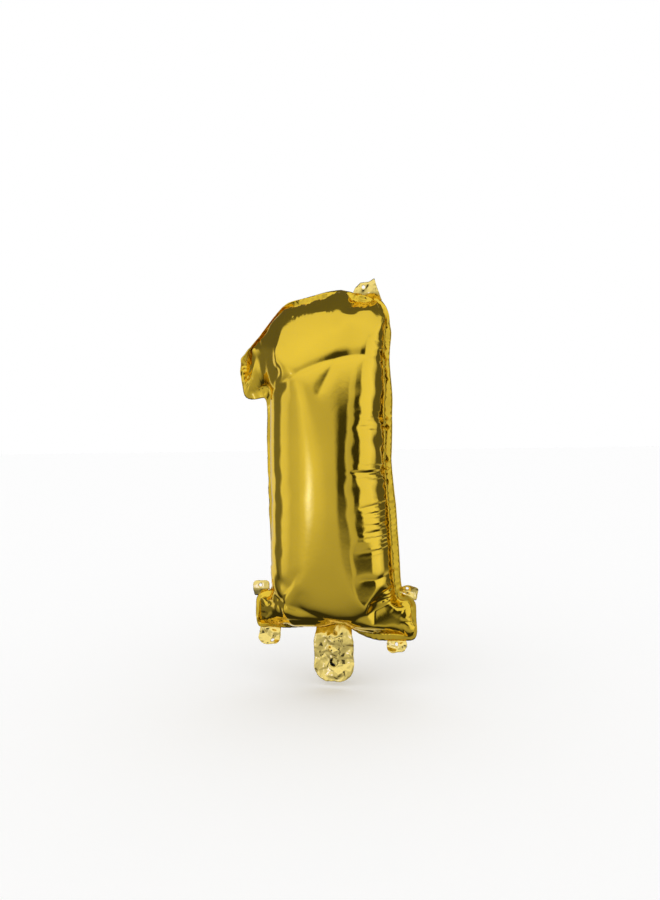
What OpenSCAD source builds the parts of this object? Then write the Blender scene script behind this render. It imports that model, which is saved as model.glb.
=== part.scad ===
// Foil number balloon: the numeral 1, blown up with air and hung by the tab on its top edge.
// Two sheets of film are welded together round the numeral's outline. Outside the weld both sheets
// go on as a flat rim, five tabs and a tail, and a flat valve of two thin plies runs through the tail.
// +Z is up, the front faces -Y, and the origin is the centre of the hole in the top tab.

/* [Numeral] */
// Height of the air-filled numeral, rim included
numeral_h = 310; // [290:1:330]
// Width of the stem between its two welds
stem_w = 105; // [90:1:120]
// Width of the foot between its end welds
foot_w = 137; // [130:1:160]
// Height of the foot between its lower and upper welds
foot_h = 27; // [22:1:34]
// Reach of the flag's tip to the left of the stem's centre line, at the weld
flag_reach = 77; // [68:1:84]
// Height of the flag's lower weld above the numeral's lower edge
flag_z = 223; // [205:1:235]
// Height of the blunt tip of the flag
flag_tip_h = 24; // [16:1:30]
// Half thickness of the air-filled stem
belly = 46; // [36:1:50]

/* [Film] */
// Width of the flat rim outside the weld
rim = 7; // [5:0.5:9]
// Thickness of one sheet of film, thicker than the real 0.04 mm so that it is a sound solid
film_t = 0.5; // [0.4:0.1:0.8]

/* [Tabs] */
// Width of a hanging tab
tab_w = 15; // [12:0.5:15]
// Length of a hanging tab beyond the rim
tab_l = 9; // [8:1:16]
// Radius of the hole punched in each tab
hole_r = 1.5; // [1:0.25:2]

/* [Tail and valve] */
// Width of the tail
tail_w = 37; // [30:1:42]
// Length of the tail below the rim
tail_l = 40; // [30:1:55]
// Radius of the filling hole in the tail's front ply, for a straw
fill_r = 4; // [3:0.5:5]
// Thickness of one ply of the valve
valve_t = 0.2; // [0.15:0.05:0.2]
// Width of the valve's channel
valve_w = 18; // [12:1:22]
// Length of the valve's tongue inside the balloon
tongue_l = 30; // [20:1:40]

/* [Hidden] */
$fn = 48;

gold = [0.83, 0.66, 0.16];
clear_film = [0.88, 0.9, 0.9];

// Welds, measured in the numeral's own frame: x from the stem's centre line, z from the lower edge
weld_low = rim;
weld_top = numeral_h - rim;
foot_top = weld_low + foot_h;
stem_half = stem_w / 2;
foot_half = foot_w / 2;
// The top edge runs level from crown_x to the right side, and slopes down to the flag's tip
crown_x = -32;
foot_corner = 9;
top_corner = 12;
tip_corner = 6;
// Height over which the weld steps from the foot or the flag to the stem, and the rim's edge likewise
step_h = 1.5;
rim_step = 0.4;
// The stem is a little narrower in the middle, where its seams draw in
waist = 3;

// Half of each gap that lets a fold turn, and the offset of a fold's axis from the rim's edge
fold_gap = 0.3;
tab_fold = film_t + fold_gap;
tail_half_t = film_t + valve_t + 0.05;
tail_fold = tail_half_t + fold_gap;
tongue_fold = 0.15;

// The hole in the top tab, which is the origin
top_tab_x = 34;
hang_x = top_tab_x;
hang_z = numeral_h + tab_fold + tab_l / 2;

// Rows and columns of the mesh that each belly is made of
shoulder_z = foot_top + rim;
under_flag_z = flag_z - rim;
rows = concat(
    [0, weld_low, weld_low + 2, weld_low + 5, weld_low + foot_h * 0.35, weld_low + foot_h * 0.6],
    [foot_top - 5, foot_top - 2, foot_top, foot_top + step_h, foot_top + 4],
    [shoulder_z, shoulder_z + rim_step],
    [for (k = [1 : 1 : 17]) shoulder_z + k * (under_flag_z - shoulder_z) / 18],
    [under_flag_z - rim_step, under_flag_z],
    [for (d = [-4, -step_h, 0, 2, 5, 9]) flag_z + d],
    [for (k = [1 : 1 : 9]) flag_z + 9 + k * (weld_top - flag_z - 18) / 10],
    [for (d = [9, 5, 2, 0]) weld_top - d],
    [numeral_h]
);
cols = 20;

// An edge that stands at x = half, drawn in round a corner of radius r over the last r of its height
function cornered(half, to_end, r) =
    to_end >= r ? half : half - r + sqrt(max(0, r * r - pow(r - max(0, to_end), 2)));

// Height of the step on the weld, where g is 0, or on the rim's edge
function step(g) = g > 0 ? rim_step : step_h;

// 0 below the step's foot, 1 above its head
function step_at(z, at, g) = min(1, max(0, (z - at) / step(g)));

// Half width of the foot at height z, with the outline grown by g. The weld's upper corners are round,
// and the rim's are square, because a tab stands on each
function foot_edge(z, g) = min(
    cornered(foot_half + g, z - weld_low + g, foot_corner),
    cornered(foot_half + g, foot_top + g + step(g) - z, g > 0 ? rim_step : foot_corner));

// Half width of the stem, drawn in at mid-height
function stem_edge(z, g) = stem_half + g - waist * sin(180 * z / weld_top);

// Right edge of the numeral
function right_edge(z, g) =
    let (s = step_at(z, foot_top + g, g))
    s < 1 ? foot_edge(z, g) * (1 - s) + stem_edge(z, g) * s
    : cornered(stem_edge(z, g), weld_top + g - z, top_corner);

// Reach of the flag to the left at height z: a blunt tip, then a straight slope up to the crown
function flag_edge(z, g) =
    let (
        tip_top = flag_z + flag_tip_h,
        slope = (flag_reach + crown_x) / (weld_top - tip_top),
        on_slope = flag_reach + g - max(0, z - tip_top) * slope
    )
    min(cornered(flag_reach + g, z - flag_z + g + step(g), tip_corner), on_slope);

// Left edge of the numeral, as a distance from the centre line
function left_edge(z, g) =
    let (
        s = step_at(z, foot_top + g, g),
        f = step_at(z, flag_z - g - step(g), g)
    )
    s < 1 ? foot_edge(z, g) * (1 - s) + stem_edge(z, g) * s
    : f < 1 ? stem_edge(z, g) * (1 - f) + flag_edge(z, g) * f
    : flag_edge(z, g);

// The weld's outline as one closed list of points, for measuring how far a point is from it
weld_rows = [for (k = [1 : len(rows) - 2]) rows[k]];
function weld_outline() = concat(
    [for (z = weld_rows) [right_edge(z, 0), z]],
    [for (k = [len(weld_rows) - 1 : -1 : 0]) [-left_edge(weld_rows[k], 0), weld_rows[k]]]);

function from_segment(p, a, b) =
    let (
        ab = b - a,
        t = min(1, max(0, ((p - a) * ab) / (ab * ab)))
    )
    norm(p - a - t * ab);

function from_weld(p, outline) =
    min([for (k = [0 : len(outline) - 1]) from_segment(p, outline[k], outline[(k + 1) % len(outline)])]);

// How far the film stands off the weld's plane at a distance d inside the weld
function rise(d) = let (s = min(1, d / belly)) belly * pow(1 - pow(1 - s, 2), 0.55);

// Column c of a row: the rim's left edge, the left weld, across the belly, the right weld, the rim
function column_x(z, c) =
    let (
        in_z = min(weld_top, max(weld_low, z)),
        l = -left_edge(in_z, 0),
        r = right_edge(in_z, 0),
        u = (1 - cos(180 * (c - 1) / (cols - 2))) / 2
    )
    c == 0 ? -left_edge(z, rim)
    : c == cols ? right_edge(z, rim)
    : l + (r - l) * u;

function on_rim(j, c) = j == 0 || j == len(rows) - 1 || c == 0 || c == cols;
function on_weld(j, c) = j == 1 || j == len(rows) - 2 || c == 1 || c == cols - 1;

// The belly's outer skin, as rows of points
function outer_skin(outline) = [
    for (j = [0 : len(rows) - 1]) [
        for (c = [0 : cols])
            let (x = column_x(rows[j], c), z = rows[j])
            [x, -film_t - (on_rim(j, c) || on_weld(j, c) ? 0 : rise(from_weld([x, z], outline))), z]
    ]
];

// The inner skin lies film_t inside the outer one, along its normal, and is flat on the rim
function inner_point(skin, j, c) =
    let (p = skin[j][c])
    on_rim(j, c) ? [p.x, 0, p.z]
    : on_weld(j, c) ? [
        p.x + film_t * (c == 1 ? 1 : c == cols - 1 ? -1 : 0),
        0,
        p.z + film_t * (j == 1 ? 1 : j == len(rows) - 2 ? -1 : 0)
    ]
    : let (
        n = cross(skin[j][c + 1] - skin[j][c - 1], skin[j + 1][c] - skin[j - 1][c])
    )
    p - film_t * n / norm(n);

// One dished panel with its rim, for the front
module panel() {
    skin = outer_skin(weld_outline());
    n = cols + 1;
    count = len(rows) * n;
    points = concat(
        [for (row = skin) each row],
        [for (j = [0 : len(rows) - 1]) for (c = [0 : cols]) inner_point(skin, j, c)]);
    cells = [for (j = [0 : len(rows) - 2]) for (c = [0 : cols - 1]) j * n + c];
    last = count - n;
    edge = concat(
        [for (c = [0 : cols - 1]) c],
        [for (j = [0 : len(rows) - 2]) j * n + cols],
        [for (c = [cols : -1 : 1]) last + c],
        [for (j = [len(rows) - 1 : -1 : 1]) j * n]);
    polyhedron(points, concat(
        [for (a = cells) each [[a, a + n, a + 1], [a + 1, a + n, a + n + 1]]],
        [for (a = cells) let (b = a + count) each [[b, b + 1, b + n], [b + 1, b + n + 1, b + n]]],
        [for (k = [0 : len(edge) - 1])
            let (a = edge[k], b = edge[(k + 1) % len(edge)])
            each [[a, b, b + count], [a, b + count, a + count]]]));
}

// From the numeral's own frame to the part's frame
module placed() {
    translate([-hang_x, 0, -hang_z]) children();
}

// A panel with half of the valve's slot cut through its lower rim
module slotted_panel() {
    difference() {
        panel();
        translate([-valve_w / 2, -valve_t - 0.05, -1]) cube([valve_w, 2, weld_low + 3]);
    }
}

module front_panel() {
    color(gold) placed() slotted_panel();
}

module back_panel() {
    color(gold) placed() mirror([0, 1, 0]) slotted_panel();
}

// A plate in the XZ plane between two values of y
module plate(x, y_from, y_to, z_from, z_to) {
    translate([-x / 2, y_from, z_from]) cube([x, y_to - y_from, z_to - z_from]);
}

// One ply of the valve on the front side, from one height to another
module valve_ply(w, z_from, z_to) {
    plate(w, -valve_t - 0.025, -0.025, z_from, z_to);
}

module valve_throat() {
    valve_ply(valve_w - 0.6, 0.2, weld_low + 1.6);
}

module valve_throat_front_ply() {
    color(clear_film) placed() valve_throat();
}

module valve_throat_back_ply() {
    color(clear_film) placed() mirror([0, 1, 0]) valve_throat();
}

// The tongue hangs free inside the balloon, above its fold
tongue_z = weld_low + 1.6 + tongue_fold;
module valve_tongue() {
    valve_ply(valve_w - 2, tongue_z + tongue_fold, tongue_z + tongue_l);
}

module valve_tongue_front_ply() {
    color(clear_film) placed() valve_tongue();
}

module valve_tongue_back_ply() {
    color(clear_film) placed() mirror([0, 1, 0]) valve_tongue();
}

// Outline of the tail below its fold, at z = 0, with a round lower end
tail_end_r = 13;
module tail_outline() {
    translate([-tail_w / 2, tail_end_r - tail_l]) square([tail_w, tail_l - tail_end_r]);
    translate([tail_end_r - tail_w / 2, -tail_l]) square([tail_w - 2 * tail_end_r, tail_end_r + 1]);
    for (side = [-1, 1])
        translate([side * (tail_w / 2 - tail_end_r), tail_end_r - tail_l]) circle(tail_end_r);
}

// The front half of the tail: a ply with a shallow pocket for the valve, and a round bead at its fold
fill_z = -tail_l / 2 - 2;
module tail_ply() {
    difference() {
        rotate([90, 0, 0]) linear_extrude(tail_half_t) tail_outline();
        plate(valve_w + 6, -valve_t - 0.05, 1, 6 - tail_l, -3);
    }
    intersection() {
        rotate([0, 90, 0]) cylinder(h = tail_w, r = tail_half_t, center = true);
        plate(tail_w, -2, 0, -2, 2);
    }
}

module at_tail() {
    placed() translate([0, 0, -tail_fold]) children();
}

module tail_front_ply() {
    color(gold) at_tail() difference() {
        tail_ply();
        translate([0, 0, fill_z]) rotate([90, 0, 0]) cylinder(h = 2, r = fill_r);
    }
}

module tail_back_ply() {
    color(gold) at_tail() mirror([0, 1, 0]) tail_ply();
}

module valve_inlet() {
    valve_ply(valve_w + 5, 7 - tail_l, -3.5);
}

module valve_inlet_front_ply() {
    color(clear_film) at_tail() valve_inlet();
}

module valve_inlet_back_ply() {
    color(clear_film) at_tail() mirror([0, 1, 0]) valve_inlet();
}

// A hanging tab standing on its fold at z = 0: both plies fused, round ends, a punched hole
tab_end_r = 4;
module tab() {
    rotate([90, 0, 0]) linear_extrude(2 * film_t, center = true) difference() {
        union() {
            translate([-tab_w / 2, 0]) square([tab_w, tab_l - tab_end_r]);
            translate([tab_end_r - tab_w / 2, 0]) square([tab_w - 2 * tab_end_r, tab_l]);
            for (side = [-1, 1])
                translate([side * (tab_w / 2 - tab_end_r), tab_l - tab_end_r]) circle(tab_end_r);
        }
        translate([0, tab_l / 2]) circle(hole_r);
    }
    rotate([0, 90, 0]) cylinder(h = tab_w, r = film_t, center = true);
}

shoulder_x = foot_half + rim - tab_w / 2;
foot_tab_x = foot_half - 11;

module tab_top() {
    color(gold) placed() translate([top_tab_x, 0, numeral_h + tab_fold]) tab();
}

module shoulder_tab(side) {
    color(gold) placed() translate([side * shoulder_x, 0, shoulder_z + rim_step + tab_fold]) tab();
}

module foot_tab(side) {
    color(gold) placed() translate([side * foot_tab_x, 0, -tab_fold]) mirror([0, 0, 1]) tab();
}

module tab_shoulder_left() { shoulder_tab(-1); }

module tab_shoulder_right() { shoulder_tab(1); }

module tab_foot_left() { foot_tab(-1); }

module tab_foot_right() { foot_tab(1); }

front_panel();
back_panel();
valve_throat_front_ply();
valve_throat_back_ply();
valve_tongue_front_ply();
valve_tongue_back_ply();
tail_front_ply();
tail_back_ply();
valve_inlet_front_ply();
valve_inlet_back_ply();
tab_top();
tab_shoulder_left();
tab_shoulder_right();
tab_foot_left();
tab_foot_right();
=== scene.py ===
# Foil number balloon: visual model round the CAD frame.
# The flat-cut foil is meshed, blown up with Blender's cloth simulation and fitted to the numeral's outline.
# Then it is creased, and made into the front and back sheets. Tabs, tail and valve are strips of film.
import math

import bpy
import numpy as np
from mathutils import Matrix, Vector
from mathutils.geometry import delaunay_2d_cdt


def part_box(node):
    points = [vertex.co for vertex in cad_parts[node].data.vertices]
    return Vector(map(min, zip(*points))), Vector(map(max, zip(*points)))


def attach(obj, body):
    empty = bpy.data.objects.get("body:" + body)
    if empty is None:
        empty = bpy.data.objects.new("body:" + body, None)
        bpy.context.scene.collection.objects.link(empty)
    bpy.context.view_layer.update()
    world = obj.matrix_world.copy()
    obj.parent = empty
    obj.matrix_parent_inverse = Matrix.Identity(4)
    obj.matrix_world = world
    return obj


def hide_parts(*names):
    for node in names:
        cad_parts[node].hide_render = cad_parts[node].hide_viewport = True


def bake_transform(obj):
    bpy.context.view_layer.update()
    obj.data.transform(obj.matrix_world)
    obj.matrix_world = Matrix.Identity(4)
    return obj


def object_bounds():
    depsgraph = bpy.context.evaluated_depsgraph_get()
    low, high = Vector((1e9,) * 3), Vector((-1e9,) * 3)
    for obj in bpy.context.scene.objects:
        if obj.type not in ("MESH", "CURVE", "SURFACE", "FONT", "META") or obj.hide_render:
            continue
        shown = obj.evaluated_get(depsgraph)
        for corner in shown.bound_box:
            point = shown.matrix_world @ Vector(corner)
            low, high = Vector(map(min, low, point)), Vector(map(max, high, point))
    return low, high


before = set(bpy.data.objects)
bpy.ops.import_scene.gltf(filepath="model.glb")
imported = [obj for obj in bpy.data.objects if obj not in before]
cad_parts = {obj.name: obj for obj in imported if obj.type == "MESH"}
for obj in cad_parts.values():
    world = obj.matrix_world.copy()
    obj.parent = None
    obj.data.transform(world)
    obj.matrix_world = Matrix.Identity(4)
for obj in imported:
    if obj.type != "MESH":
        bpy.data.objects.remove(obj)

cad_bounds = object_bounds()
MM = 0.001
scene = bpy.context.scene

# The numeral's own frame, in mm: x from the stem's centre line, z from the lower edge of the rim
panel_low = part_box("front_panel")[0]
tail_low, tail_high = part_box("tail_front_ply")
HOME = np.array([(tail_low.x + tail_high.x) / 2, 0.0, panel_low.z])


def placed(points):
    """Points in the numeral's frame, in mm, as points in the part's frame, in metres."""
    return HOME + np.asarray(points, float) * MM


# -------------------- camera

CAMERA_YAW, CAMERA_LIFT, CAMERA_ROLL = 11.0, 3.0, 1.3
CAMERA_AWAY = 0.70
LENS = 31.0
AIM = placed([0.5, 0.0, 171.0])


def make_camera():
    data = bpy.data.cameras.new("camera")
    data.sensor_fit = "VERTICAL"
    data.sensor_height = 36.0
    data.lens = LENS
    data.clip_start = 0.01
    camera = bpy.data.objects.new("camera", data)
    scene.collection.objects.link(camera)
    yaw, lift = math.radians(CAMERA_YAW), math.radians(CAMERA_LIFT)
    back = Vector((math.sin(yaw) * math.cos(lift), -math.cos(yaw) * math.cos(lift), math.sin(lift)))
    camera.location = Vector(AIM) + back * CAMERA_AWAY
    turn = back.to_track_quat("Z", "Y").to_matrix().to_4x4()
    camera.rotation_euler = turn.to_euler()
    camera.rotation_euler.rotate_axis("Z", math.radians(-CAMERA_ROLL))
    scene.camera = camera


make_camera()

# -------------------- flat pattern

RIM = 7.0
EDGE = 3.0
JITTER = 0.15
# Half widths and heights of the flat weld, before the air draws it in
FOOT, FOOT_H, STEM, TOP = 87.0, 37.0, 75.0, 316.0
FLAG, FLAG_LOW, FLAG_HIGH, CROWN = 97.0, 248.0, 275.0, -39.0
# x, z and corner radius
WELD = [
    (-FOOT, 0, 9), (FOOT, 0, 9), (FOOT, FOOT_H, 8), (STEM, FOOT_H, 4),
    (STEM, TOP - 8, 26), (8, TOP + 5, 90), (CROWN, TOP - 5, 18), (-FLAG, FLAG_HIGH, 9),
    (-FLAG, FLAG_LOW, 9), (-STEM, FLAG_LOW, 6), (-STEM, FOOT_H, 4), (-FOOT, FOOT_H, 8),
]


def unit(v):
    return v / np.linalg.norm(v)


def grown(corners, by):
    """The corners of an outline with each side moved out, and each radius to match."""
    out = []
    n = len(corners)
    for i in range(n):
        before, here, after = (np.array(corners[j % n][:2], float) for j in (i - 1, i, i + 1))
        d0, d1 = unit(here - before), unit(after - here)
        n0, n1 = np.array([d0[1], -d0[0]]), np.array([d1[1], -d1[0]])
        x, z = here + by * (n0 + n1) / (1 + n0 @ n1)
        bulges = d0[0] * d1[1] - d0[1] * d1[0] > 0
        out.append((x, z, corners[i][2] + by if bulges else max(1.0, corners[i][2] - by)))
    return out


def rounded(corners, step):
    """A closed outline with round corners, as points about a step apart."""
    out = []
    n = len(corners)
    for i in range(n):
        before, here, after = (np.array(corners[j % n][:2], float) for j in (i - 1, i, i + 1))
        r = corners[i][2]
        a, b = unit(before - here), unit(after - here)
        angle = math.acos(np.clip(a @ b, -1, 1))
        if r < 1e-6 or math.pi - angle < 1e-3:
            out.append(here)
            continue
        reach = r / math.tan(angle / 2)
        start, end = here + a * reach, here + b * reach
        centre = here + unit(a + b) * (r / math.sin(angle / 2))
        from_angle = math.atan2(*(start - centre)[::-1])
        to_angle = math.atan2(*(end - centre)[::-1])
        sweep = (to_angle - from_angle + math.pi) % (2 * math.pi) - math.pi
        count = max(2, int(abs(sweep) * r / step) + 1)
        angles = from_angle + sweep * np.arange(count + 1) / count
        out += list(centre + r * np.column_stack([np.cos(angles), np.sin(angles)]))
    closed = np.vstack([out, out[:1]])
    along = np.concatenate([[0], np.cumsum(np.linalg.norm(np.diff(closed, axis=0), axis=1))])
    count = int(along[-1] / step)
    at = np.arange(count) * along[-1] / count
    return np.column_stack([np.interp(at, along, closed[:, k]) for k in (0, 1)])


def inside(outline, points):
    x, z = points[:, :1], points[:, 1:]
    x0, z0 = outline.T
    x1, z1 = np.roll(x0, -1), np.roll(z0, -1)
    crossed = ((z0 > z) != (z1 > z)) & (x < (x1 - x0) * (z - z0) / (z1 - z0 + 1e-30) + x0)
    return crossed.sum(1) % 2 == 1


def to_outline(outline, points, closed=True):
    """Distance to an outline, and the arc length of the nearest point on it."""
    a, b = (outline, np.roll(outline, -1, 0)) if closed else (outline[:-1], outline[1:])
    ab = b - a
    length = np.linalg.norm(ab, axis=1)
    start = np.concatenate([[0], np.cumsum(length)[:-1]])
    away, along = np.empty(len(points)), np.empty(len(points))
    for i in range(0, len(points), 1000):
        p = points[i:i + 1000, None]
        t = np.clip(((p - a) * ab).sum(2) / (ab * ab).sum(1), 0, 1)
        gap = np.linalg.norm(p - (a + t[..., None] * ab), axis=2)
        best = gap.argmin(1)
        row = np.arange(len(best))
        away[i:i + 1000] = gap[row, best]
        along[i:i + 1000] = start[best] + t[row, best] * length[best]
    return away, along


def flat_mesh(outer, rings, step, seed):
    """Triangles over the inside of outer, with every ring's points as vertices. Rings come first."""
    low, high = outer.min(0) - 1, outer.max(0) + 1
    lines = np.arange(low[1], high[1], step * math.sqrt(3) / 2)
    grid = np.array([
        (x + (step / 2 if i % 2 else 0), z)
        for i, z in enumerate(lines) for x in np.arange(low[0], high[0], step)
    ])
    grid += np.random.default_rng(seed).uniform(-JITTER, JITTER, grid.shape) * step
    keep = inside(outer, grid)
    for ring in rings:
        keep &= to_outline(ring, grid)[0] > step * 0.6
    points = np.vstack([*rings, grid[keep]])
    edges, first = [], 0
    for ring in rings:
        count = len(ring)
        edges += [(first + i, first + (i + 1) % count) for i in range(count)]
        first += count
    vectors, _, faces, *_ = delaunay_2d_cdt([Vector(p) for p in points], edges, [], 0, 1e-6)
    points = np.array([tuple(v) for v in vectors])
    faces = np.array([tuple(f) for f in faces])
    faces = faces[inside(outer, points[faces].mean(1))]
    s1, s2 = points[faces[:, 1]] - points[faces[:, 0]], points[faces[:, 2]] - points[faces[:, 0]]
    wrong = s1[:, 0] * s2[:, 1] - s1[:, 1] * s2[:, 0] < 0
    faces[wrong] = faces[wrong][:, ::-1]
    return points, faces


weld_ring = rounded(WELD, EDGE)
cut_ring = rounded(grown(WELD, RIM), EDGE)
flat, flat_faces = flat_mesh(cut_ring, [weld_ring, cut_ring], EDGE, 7)
in_bag = inside(weld_ring, flat[flat_faces].mean(1))
from_seam = to_outline(weld_ring, flat)[0]
SEAM_LENGTH = to_outline(weld_ring, weld_ring)[1].max()
is_inner = inside(weld_ring, flat)
is_inner[:len(weld_ring) + len(cut_ring)] = False

# -------------------- blowing up

FRAMES = 80
PRESSURE = 50.0


def blown_up():
    """Front and back positions of every flat vertex, in mm, after the bag is filled with air."""
    n = len(flat)
    inner = np.flatnonzero(is_inner)
    twin = np.arange(n)
    twin[inner] = n + np.arange(len(inner))
    front = np.column_stack([flat[:, 0], np.where(is_inner, -0.3, 0.0), flat[:, 1]])
    back = front[inner] * [1, -1, 1]
    bag, rim = flat_faces[in_bag], flat_faces[~in_bag]
    faces = np.vstack([bag, twin[bag][:, ::-1], rim])
    mesh = bpy.data.meshes.new("bag")
    mesh.from_pydata((np.vstack([front, back]) * MM).tolist(), [], faces.tolist())
    bag_object = bpy.data.objects.new("bag", mesh)
    scene.collection.objects.link(bag_object)
    filled = bag_object.vertex_groups.new(name="filled")
    filled.add(np.unique(np.vstack([bag, twin[bag]])).tolist(), 1.0, "REPLACE")
    cloth = bag_object.modifiers.new("Cloth", "CLOTH")
    film = cloth.settings
    film.vertex_group_pressure = "filled"
    film.quality = 6
    film.mass = 0.02
    film.tension_stiffness = 200
    film.compression_stiffness = 2
    film.shear_stiffness = 1
    film.bending_stiffness = 0.002
    film.tension_damping = film.compression_damping = 20
    film.shear_damping = 10
    film.bending_damping = 0.5
    film.use_pressure = True
    film.uniform_pressure_force = PRESSURE
    film.effector_weights.gravity = 0
    for at, drag in ((1, 2.0), (FRAMES * 0.55, 2.0), (FRAMES * 0.8, 10.0)):
        film.air_damping = drag
        film.keyframe_insert("air_damping", frame=at)
    cloth.collision_settings.use_collision = False
    cloth.collision_settings.use_self_collision = False
    cloth.point_cache.frame_end = FRAMES
    for at in range(1, FRAMES + 1):
        scene.frame_set(at)
    result = bag_object.evaluated_get(bpy.context.evaluated_depsgraph_get()).data
    got = np.array([v.co for v in result.vertices]) / MM
    scene.frame_set(1)
    bpy.data.objects.remove(bag_object)
    bpy.data.meshes.remove(mesh)
    return got[:n], got[twin]


front, back = blown_up()

# -------------------- fitting to the outline

BELLY = 46.0
# Where points of the flat cut line come to lie on the blown-up numeral: flat x, z, then x, z
CUT_POINTS = [
    ((-FOOT - RIM, -RIM), (-72, 8)), ((-50, -RIM), (-46, 6)), ((-14, -RIM), (-11, 8)), ((8, -RIM), (10, 9)),
    ((26, -RIM), (25, 1)), ((40, -RIM), (39, -3)), ((FOOT + RIM, -RIM), (75, -1)),
    ((FOOT + RIM, FOOT_H + RIM - 4), (76.5, 37)), ((STEM + RIM + 2, FOOT_H + RIM), (64, 41)),
    ((STEM + RIM, FOOT_H + RIM + 5), (62.5, 47)),
    ((STEM + RIM, 76), (62, 72)), ((STEM + RIM, 128), (59.5, 121)), ((STEM + RIM, 166), (56, 157)),
    ((STEM + RIM, 222), (58.5, 215)), ((STEM + RIM, 258), (55.5, 252)), ((STEM + RIM, 282), (58.5, 276)),
    ((STEM + RIM, 302), (55, 293)), ((STEM + 2, TOP), (50.5, 303)), ((8, TOP + RIM + 5), (11, 315)),
    ((CROWN - 2, TOP + 2), (-37, 304)), ((-FLAG - RIM, FLAG_HIGH + 4), (-81, 253)),
    ((-FLAG - RIM, FLAG_LOW - RIM), (-80, 218)), ((-STEM - RIM, FLAG_LOW - RIM), (-56.5, 219)),
    ((-STEM - RIM, 190), (-59, 181)), ((-STEM - RIM, 130), (-58.5, 125)),
    ((-STEM - RIM, FOOT_H + RIM + 5), (-57.5, 47)),
    ((-STEM - RIM - 2, FOOT_H + RIM), (-59.5, 40.5)), ((-FOOT - RIM, FOOT_H + RIM - 4), (-74, 37)),
]
FIT_EASE = 6.0


def smooth_step(t):
    t = np.clip(t, 0, 1)
    return t * t * (3 - 2 * t)


def cut_line_moves(front):
    """How far each point of the cut line has to go, in x and z, to reach its place."""
    ring = slice(len(weld_ring), len(weld_ring) + len(cut_ring))
    now = front[ring][:, [0, 2]]
    length = np.linalg.norm(np.roll(cut_ring, -1, 0) - cut_ring, axis=1)
    along = np.concatenate([[0], np.cumsum(length)[:-1]])
    total = length.sum()
    at = to_outline(cut_ring, np.array([c[0] for c in CUT_POINTS], float))[1]
    order = np.argsort(at)
    goal = np.array([c[1] for c in CUT_POINTS], float)[order]
    moves = np.column_stack([np.interp(along, at[order], goal[:, k], period=total) for k in (0, 1)]) - now
    gap = (along[:, None] - along + total / 2) % total - total / 2
    weight = np.exp(-((gap / FIT_EASE) ** 2))
    return (weight / weight.sum(1, keepdims=True)) @ moves


def fitted(points, moves):
    """Every point moved with the cut line, the nearest parts of it the most."""
    out = points.copy()
    for i in range(0, len(points), 2000):
        gap = np.linalg.norm(flat[i:i + 2000, None] - cut_ring, axis=2)
        weight = 1 / (gap + 2.0) ** 2.5
        out[i:i + 2000, [0, 2]] += (weight / weight.sum(1, keepdims=True)) @ moves
    out[:, 1] *= BELLY / np.abs(out[:, 1]).max()
    return out


# How far along the seam its shape is evened out, how far that reaches in, and what is left of its sway
SEAM_EASE, SEAM_EASE_IN, SEAM_SWAY = 5.0, 7.0, 0.45


def ring_mean(values, along, total, reach):
    """A running mean round a closed ring."""
    gap = (along[:, None] - along + total / 2) % total - total / 2
    weight = np.exp(-((gap / reach) ** 2))
    return (weight / weight.sum(1, keepdims=True)) @ values


def evened(points):
    """The seam and the rim with their small kinks taken out, and what lies beside them moved along."""
    out = points.copy()
    first = 0
    for ring in (weld_ring, cut_ring):
        own = slice(first, first + len(ring))
        along = to_outline(ring, ring)[1]
        total = np.linalg.norm(np.roll(ring, -1, 0) - ring, axis=1).sum()
        change = ring_mean(points[own], along, total, SEAM_EASE) - points[own]
        change[:, 1] = SEAM_SWAY * (change[:, 1] + points[own][:, 1]) - points[own][:, 1]
        if first == 0:
            away, place = to_outline(weld_ring, flat)
            spread = np.column_stack([np.interp(place, along, change[:, k], period=total) for k in range(3)])
            out += spread * np.exp(-((away / SEAM_EASE_IN) ** 2))[:, None]
        out[own] = points[own] + change
        first += len(ring)
    between = ~is_inner
    between[:first] = False
    share = np.clip(from_seam[between] / RIM, 0, 1)
    own = slice(len(weld_ring), first)
    near_cut = np.linalg.norm(flat[between][:, None] - cut_ring, axis=2).argmin(1)
    near_seam = np.linalg.norm(flat[between][:, None] - weld_ring, axis=2).argmin(1)
    ends = out[:len(weld_ring)][near_seam, 1], out[own][near_cut, 1]
    out[between, 1] = ends[0] * (1 - share) + ends[1] * share
    return out


moves = cut_line_moves(front)
front, back = evened(fitted(front, moves)), evened(fitted(back, moves))

# -------------------- refining and creasing


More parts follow.
